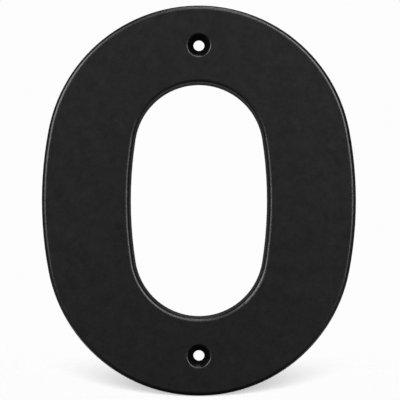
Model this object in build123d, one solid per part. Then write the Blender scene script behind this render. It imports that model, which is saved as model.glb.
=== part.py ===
"""House number zero: one cast plate with a pierced counter and two countersunk screw holes.

The back face lies on the wall in the plane Y = 0, the front faces -Y and the numeral stands along +Z.
The origin is the middle of the back face, halfway between the two screw holes.
"""
import os
from math import atan2, degrees

from build123d import *

# Overall size, at the back face, where the draft makes the plate largest
numeral_height = 152.4
numeral_width = 122.7
thickness = 8.0

# Strokes around the counter, at the back face: beside it, and above and below it
side_stroke = 34.85
end_stroke = 31.2

# How far the long sides of both outlines bow out between their round ends
side_bow = 1.55

# Casting draft of the walls, and the rounding of their edges
draft_angle = 5.0
front_edge_radius = 1.6
back_edge_radius = 0.4

# Countersunk screw holes, one in each end stroke, on the axis of the numeral
screw_inset = 15.9
screw_hole_diameter = 4.3
countersink_diameter = 9.0
countersink_angle = 82
countersink_rim_radius = 0.8


def bowed_oval(width, height):
    """Face of a tall oval with round ends, whose long sides are tangent arcs that bow out by side_bow."""
    end_radius = width / 2 - side_bow
    end_centre = height / 2 - end_radius
    side_radius = end_radius + (end_centre**2 + side_bow**2) / (2 * side_bow)
    side_centre = side_radius - width / 2
    half_sweep = degrees(atan2(end_centre, side_centre))
    return make_face(
        [
            CenterArc((-side_centre, 0), side_radius, -half_sweep, 2 * half_sweep),
            CenterArc((0, end_centre), end_radius, half_sweep, 180 - 2 * half_sweep),
            CenterArc((side_centre, 0), side_radius, 180 - half_sweep, 2 * half_sweep),
            CenterArc((0, -end_centre), end_radius, 180 + half_sweep, 180 - 2 * half_sweep),
        ]
    )


def drafted_ring():
    """Plate between the two outlines: the outer wall leans in towards the front, the counter opens out."""
    outline = bowed_oval(numeral_width, numeral_height)
    counter = bowed_oval(numeral_width - 2 * side_stroke, numeral_height - 2 * end_stroke)
    plate = extrude(Plane.XZ * outline, thickness, taper=draft_angle)
    return plate - extrude(Plane.XZ * counter, thickness, taper=-draft_angle)


def front_face(body):
    """Flat face towards the viewer."""
    return body.faces().sort_by(Axis.Y)[0]


def back_face(body):
    """Flat face that lies on the wall."""
    return body.faces().sort_by(Axis.Y)[-1]


def numeral():
    """The finished casting: ring with rounded edges and countersunk holes."""
    ring = drafted_ring()
    ring = fillet(front_face(ring).edges(), front_edge_radius)
    ring = fillet(back_face(ring).edges(), back_edge_radius)

    hole = CounterSinkHole(
        screw_hole_diameter / 2, countersink_diameter / 2, thickness, countersink_angle
    )
    screw_height = numeral_height / 2 - screw_inset
    for height in (screw_height, -screw_height):
        ring -= Plane.XZ.offset(thickness) * Pos(0, height) * hole
    rims = front_face(ring).edges().filter_by(lambda edge: edge.is_closed)
    return fillet(rims, countersink_rim_radius)


os.makedirs("parts", exist_ok=True)
export_step(numeral(), "parts/numeral.step")
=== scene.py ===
"""Studio view of a cast house number zero in a matte black powder coat."""
import math

import bpy
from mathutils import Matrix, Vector


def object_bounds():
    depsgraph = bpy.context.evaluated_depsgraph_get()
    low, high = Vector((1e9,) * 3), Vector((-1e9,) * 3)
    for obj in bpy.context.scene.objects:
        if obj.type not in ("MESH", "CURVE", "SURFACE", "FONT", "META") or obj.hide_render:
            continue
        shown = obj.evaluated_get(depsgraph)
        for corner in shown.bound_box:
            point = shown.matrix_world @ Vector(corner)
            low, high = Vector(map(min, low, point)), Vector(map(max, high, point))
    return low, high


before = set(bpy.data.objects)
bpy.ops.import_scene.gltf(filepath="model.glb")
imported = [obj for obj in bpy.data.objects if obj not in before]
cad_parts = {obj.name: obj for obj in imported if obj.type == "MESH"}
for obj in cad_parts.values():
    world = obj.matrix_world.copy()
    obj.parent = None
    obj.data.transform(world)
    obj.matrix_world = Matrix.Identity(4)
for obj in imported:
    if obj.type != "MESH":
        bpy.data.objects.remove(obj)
CAD_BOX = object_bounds()
CENTRE = (CAD_BOX[0] + CAD_BOX[1]) / 2
HEIGHT = CAD_BOX[1].z - CAD_BOX[0].z
MM = 0.001
WHITE = (1.0, 1.0, 1.0, 1.0)

# The photograph's frame, in pixels: where the middle of the numeral is, and how tall it is there
PHOTO_SIDE = 400
PHOTO_CENTRE = (198.9, 200.6)
PHOTO_HEIGHT = 390.0

# Camera, straight in front of the numeral
CAMERA_DISTANCE = 1.016
SENSOR_WIDTH = 36.0

# Noises of the coat: size of the main features, octaves of finer ones, and the share each octave keeps
BLOTCHES = (5 * MM, 5.0, 0.9)
GLOSS_PATCHES = (4 * MM, 5.0, 0.8)
PEEL = (1.4 * MM, 1.0, 0.5)
GRAIN = (0.35 * MM, 2.0, 0.5)

# The part of each noise's range that is used, because its ends are hardly ever reached
NOISE_RANGE = (0.3, 0.7)

# Coat: colour and specular level from dark to pale blotches, roughness from dull to glossy patches
BLOTCH_COLOURS = ((0.0008, 0.0008, 0.0009, 1.0), (0.0016, 0.0016, 0.0015, 1.0))
BLOTCH_SPECULAR = (0.41, 0.59)
GLOSS_ROUGHNESS = (0.382, 0.338)

# Coat relief: depth of its soft orange peel and of its fine grain
PEEL_DEPTH = 0.002 * MM
GRAIN_DEPTH = 0.006 * MM

# Haze of the coat at a glance: where it sets in, from 0 face on to 1 edge on, and the roughness it adds
HAZE_ONSET = (0.45, 0.75)
HAZE_ROUGHNESS = 0.5

# Smoother coat in the countersinks, by how open a place is to what is near it, from 1 open to 0 shut in
RECESS_REACH = 12 * MM
RECESS_ONSET = (0.95, 0.75)
RECESS_ROUGHNESS = -0.12

# Radiance of the backdrop as the camera sees it
BACKDROP_WHITE = 0.98

# Radiance of what the coat mirrors: a dim room behind the numeral, its floor, and a floor all round
ROOM_GREY = 0.045
BACK_FLOOR_GREY = 0.25
FLOOR_GREY = 0.12

# Where each sets in along the mirrored direction: Y for the room, Z for the floors and their dark foot
ROOM_ONSET = (-0.2, 0.2)
BACK_FLOOR_ONSET = (0.1, -0.3)
FLOOR_ONSET = (-0.15, -0.45)
FOOT_ONSET = (-0.6, -0.9)

# Floor under the numeral, and the distances from it between which the floor fades out
FLOOR_RADIUS = 0.3
FLOOR_SIDES = 96
FLOOR_FADE = (0.03, 0.28)
FLOOR_COLOUR = (0.85, 0.85, 0.85, 1.0)
FLOOR_ROUGHNESS = 0.9
FLOOR_GLOW = 0.57

# Softboxes: azimuth and elevation from the front in degrees, width and height in metres, watts
SOFTBOX_DISTANCE = 2.0
SOFTBOXES = {
    "softbox_left": (-52, 27, 0.66, 1.2, 18.3),
    "softbox_left_front": (-38, 14, 0.6, 1.2, 20.0),
    "softbox_right": (37, 20, 0.6, 1.6, 33.6),
    "softbox_top": (14, 46, 1.4, 0.8, 15.8),
    "softbox_overhead": (25, 82, 1.0, 0.5, 13.4),
}

# Broad low light from the front that only the floor takes, for one soft shadow behind the numeral
FLOOR_KEY_ELEVATION = 8
FLOOR_KEY_SPREAD = 12
FLOOR_KEY_STRENGTH = 12.3

# White card that lies on the floor just behind the numeral and lights the upper edge of the counter
CARD_BEHIND = 0.032
CARD_LIFT = 0.5 * MM
CARD_SIZE = (0.18, 0.06)
CARD_POWER = 0.037


def add_node(tree, kind, settings=None, inputs=None):
    """New shader node with its properties and unlinked input values set."""
    node = tree.nodes.new(kind)
    for name, value in (settings or {}).items():
        setattr(node, name, value)
    for name, value in (inputs or {}).items():
        node.inputs[name].default_value = value
    return node


def ranged(tree, value, source, target, interpolation="LINEAR"):
    """The value carried over from one range to another, and held at its ends."""
    node = add_node(
        tree,
        "ShaderNodeMapRange",
        {"interpolation_type": interpolation},
        {"From Min": source[0], "From Max": source[1], "To Min": target[0], "To Max": target[1]},
    )
    tree.links.new(value, node.inputs["Value"])
    return node.outputs["Result"]


def combined(tree, operation, *values):
    """Sum or product of two or more values."""
    result = values[0]
    for value in values[1:]:
        node = add_node(tree, "ShaderNodeMath", {"operation": operation})
        tree.links.new(result, node.inputs[0])
        tree.links.new(value, node.inputs[1])
        result = node.outputs["Value"]
    return result


def noise(tree, place, size, octaves, share):
    """Noise from 0 to 1, whose main features are about as large as size, in metres."""
    node = add_node(
        tree, "ShaderNodeTexNoise", inputs={"Scale": 1 / size, "Detail": octaves, "Roughness": share}
    )
    tree.links.new(place, node.inputs["Vector"])
    return ranged(tree, node.outputs["Fac"], NOISE_RANGE, (0.0, 1.0))


def bumped(tree, height, depth, normal=None):
    """Surface normal of a relief, with heights from 0 to 1 times a depth, over another normal."""
    node = add_node(tree, "ShaderNodeBump", inputs={"Strength": 1.0, "Distance": depth})
    tree.links.new(height, node.inputs["Height"])
    if normal:
        tree.links.new(normal, node.inputs["Normal"])
    return node.outputs["Normal"]


def powder_coat():
    """Matte black powder coat: mottled colour and gloss, soft orange peel and a fine grain."""
    material = bpy.data.materials.new("black_powder_coat")
    material.use_nodes = True
    tree = material.node_tree
    shader = tree.nodes["Principled BSDF"]
    place = tree.nodes.new("ShaderNodeTexCoord").outputs["Object"]

    blotches = noise(tree, place, *BLOTCHES)
    colour = add_node(tree, "ShaderNodeMix", {"data_type": "RGBA"})
    colour.inputs["A"].default_value = BLOTCH_COLOURS[0]
    colour.inputs["B"].default_value = BLOTCH_COLOURS[1]
    tree.links.new(blotches, colour.inputs["Factor"])
    tree.links.new(colour.outputs["Result"], shader.inputs["Base Color"])
    specular = ranged(tree, blotches, (0.0, 1.0), BLOTCH_SPECULAR)
    tree.links.new(specular, shader.inputs["Specular IOR Level"])

    gloss = ranged(tree, noise(tree, place, *GLOSS_PATCHES), (0.0, 1.0), GLOSS_ROUGHNESS)
    glance = tree.nodes.new("ShaderNodeLayerWeight").outputs["Facing"]
    haze = ranged(tree, glance, HAZE_ONSET, (0.0, HAZE_ROUGHNESS))
    shelter = add_node(
        tree, "ShaderNodeAmbientOcclusion", {"only_local": True}, {"Distance": RECESS_REACH}
    )
    recess = ranged(tree, shelter.outputs["AO"], RECESS_ONSET, (0.0, RECESS_ROUGHNESS))
    tree.links.new(combined(tree, "ADD", gloss, haze, recess), shader.inputs["Roughness"])

    peel = bumped(tree, noise(tree, place, *PEEL), PEEL_DEPTH)
    grain = bumped(tree, noise(tree, place, *GRAIN), GRAIN_DEPTH, peel)
    tree.links.new(grain, shader.inputs["Normal"])
    return material


def studio_world():
    """White backdrop to the camera; to the coat, a room with a floor, dark in front and dim behind."""
    world = bpy.data.worlds.new("studio")
    bpy.context.scene.world = world
    world.use_nodes = True
    tree = world.node_tree
    tree.nodes.clear()

    axes = tree.nodes.new("ShaderNodeSeparateXYZ")
    tree.links.new(tree.nodes.new("ShaderNodeTexCoord").outputs["Generated"], axes.inputs["Vector"])
    depth = axes.outputs["Y"]
    rise = axes.outputs["Z"]
    behind = ranged(tree, depth, ROOM_ONSET, (0.0, 1.0), "SMOOTHSTEP")
    back = ranged(tree, rise, BACK_FLOOR_ONSET, (ROOM_GREY, BACK_FLOOR_GREY), "SMOOTHSTEP")
    low = ranged(tree, rise, FLOOR_ONSET, (0.0, FLOOR_GREY), "SMOOTHSTEP")
    foot = ranged(tree, rise, FOOT_ONSET, (1.0, 0.0), "SMOOTHSTEP")
    grey = combined(tree, "ADD", combined(tree, "MULTIPLY", behind, back), low)
    room = add_node(tree, "ShaderNodeBackground", inputs={"Color": WHITE})
    tree.links.new(combined(tree, "MULTIPLY", grey, foot), room.inputs["Strength"])

    seen = add_node(tree, "ShaderNodeBackground", inputs={"Color": WHITE, "Strength": BACKDROP_WHITE})
    mix = tree.nodes.new("ShaderNodeMixShader")
    output = tree.nodes.new("ShaderNodeOutputWorld")
    tree.links.new(tree.nodes.new("ShaderNodeLightPath").outputs["Is Camera Ray"], mix.inputs["Fac"])
    tree.links.new(room.outputs["Background"], mix.inputs[1])
    tree.links.new(seen.outputs["Background"], mix.inputs[2])
    tree.links.new(mix.outputs["Shader"], output.inputs["Surface"])


def pale_floor():
    """Matte pale floor that fades out into the backdrop away from the numeral."""
    material = bpy.data.materials.new("pale_floor")
    material.use_nodes = True
    tree = material.node_tree
    shader = tree.nodes["Principled BSDF"]
    shader.inputs["Base Color"].default_value = FLOOR_COLOUR
    shader.inputs["Roughness"].default_value = FLOOR_ROUGHNESS
    shader.inputs["Emission Color"].default_value = FLOOR_COLOUR
    shader.inputs["Emission Strength"].default_value = FLOOR_GLOW

    reach = add_node(tree, "ShaderNodeVectorMath", {"operation": "LENGTH"})
    tree.links.new(tree.nodes.new("ShaderNodeTexCoord").outputs["Object"], reach.inputs[0])
    fade = ranged(tree, reach.outputs["Value"], FLOOR_FADE, (0.0, 1.0), "SMOOTHSTEP")
    clear = tree.nodes.new("ShaderNodeBsdfTransparent")
    mix = tree.nodes.new("ShaderNodeMixShader")
    tree.links.new(fade, mix.inputs["Fac"])
    tree.links.new(shader.outputs["BSDF"], mix.inputs[1])
    tree.links.new(clear.outputs["BSDF"], mix.inputs[2])
    tree.links.new(mix.outputs["Shader"], tree.nodes["Material Output"].inputs["Surface"])
    return material


def studio_floor():
    """Pale floor under the numeral, only to take its shadow: the coat mirrors the world's floor."""
    bpy.ops.mesh.primitive_circle_add(
        vertices=FLOOR_SIDES,
        radius=FLOOR_RADIUS,
        fill_type="NGON",
        location=(CENTRE.x, CENTRE.y, CAD_BOX[0].z),
    )
    floor = bpy.context.object
    floor.name = "studio_floor"
    floor.data.materials.append(pale_floor())
    floor.visible_glossy = False
    floor.visible_diffuse = False
    floor.visible_shadow = False
    return floor


def bearing(azimuth, elevation):
    """Unit vector towards an azimuth, from the front to the right, and an elevation, in degrees."""
    turn = math.radians(azimuth)
    rise = math.radians(elevation)
    return Vector((math.sin(turn) * math.cos(rise), -math.cos(turn) * math.cos(rise), math.sin(rise)))


def add_light(data, place, direction, lit):
    """Light that shines against a direction on one object only, and is hidden from the camera."""
    light = bpy.data.objects.new(data.name, data)
    light.location = place
    light.rotation_euler = direction.to_track_quat("Z", "Y").to_euler()
    light.visible_camera = False
    light.light_linking.receiver_collection = lit
    bpy.context.collection.objects.link(light)


def rectangle(name, width, height, power):
    """Data of a rectangular area light."""
    data = bpy.data.lights.new(name, "AREA")
    data.shape = "RECTANGLE"
    data.size = width
    data.size_y = height
    data.energy = power
    return data


def alone(obj):
    """Collection of one object, for a light that only that object takes."""
    group = bpy.data.collections.new("lit_" + obj.name)
    group.objects.link(obj)
    return group


def studio_lights(numeral, floor):
    """Softboxes and a floor card for the numeral, and a broad low light for the floor."""
    lit_numeral = alone(numeral)
    for name, (azimuth, elevation, *shape) in SOFTBOXES.items():
        direction = bearing(azimuth, elevation)
        place = CENTRE + direction * SOFTBOX_DISTANCE
        add_light(rectangle(name, *shape), place, direction, lit_numeral)
    card = Vector((CENTRE.x, CAD_BOX[1].y + CARD_BEHIND, CAD_BOX[0].z + CARD_LIFT))
    add_light(rectangle("floor_card", *CARD_SIZE, CARD_POWER), card, Vector((0, 0, -1)), lit_numeral)

    key = bpy.data.lights.new("floor_key", "SUN")
    key.angle = math.radians(FLOOR_KEY_SPREAD)
    key.energy = FLOOR_KEY_STRENGTH
    direction = bearing(0, FLOOR_KEY_ELEVATION)
    add_light(key, CENTRE + direction, direction, alone(floor))


def photo_camera():
    """Camera straight in front, at the distance and offset that give the photograph's frame."""
    pixels_per_metre = PHOTO_HEIGHT / HEIGHT
    data = bpy.data.cameras.new("photo_camera")
    data.sensor_width = SENSOR_WIDTH
    data.lens = pixels_per_metre * CAMERA_DISTANCE * SENSOR_WIDTH / PHOTO_SIDE
    camera = bpy.data.objects.new("photo_camera", data)
    camera.location = (
        CENTRE.x + (PHOTO_SIDE / 2 - PHOTO_CENTRE[0]) / pixels_per_metre,
        CAD_BOX[1].y - CAMERA_DISTANCE,
        CENTRE.z - (PHOTO_SIDE / 2 - PHOTO_CENTRE[1]) / pixels_per_metre,
    )
    camera.rotation_euler = (math.pi / 2, 0, 0)
    bpy.context.collection.objects.link(camera)
    bpy.context.scene.camera = camera


bpy.context.scene.view_settings.view_transform = "Standard"
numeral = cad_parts["numeral"]
numeral.material_slots[0].material = powder_coat()
studio_world()
studio_lights(numeral, studio_floor())
photo_camera()
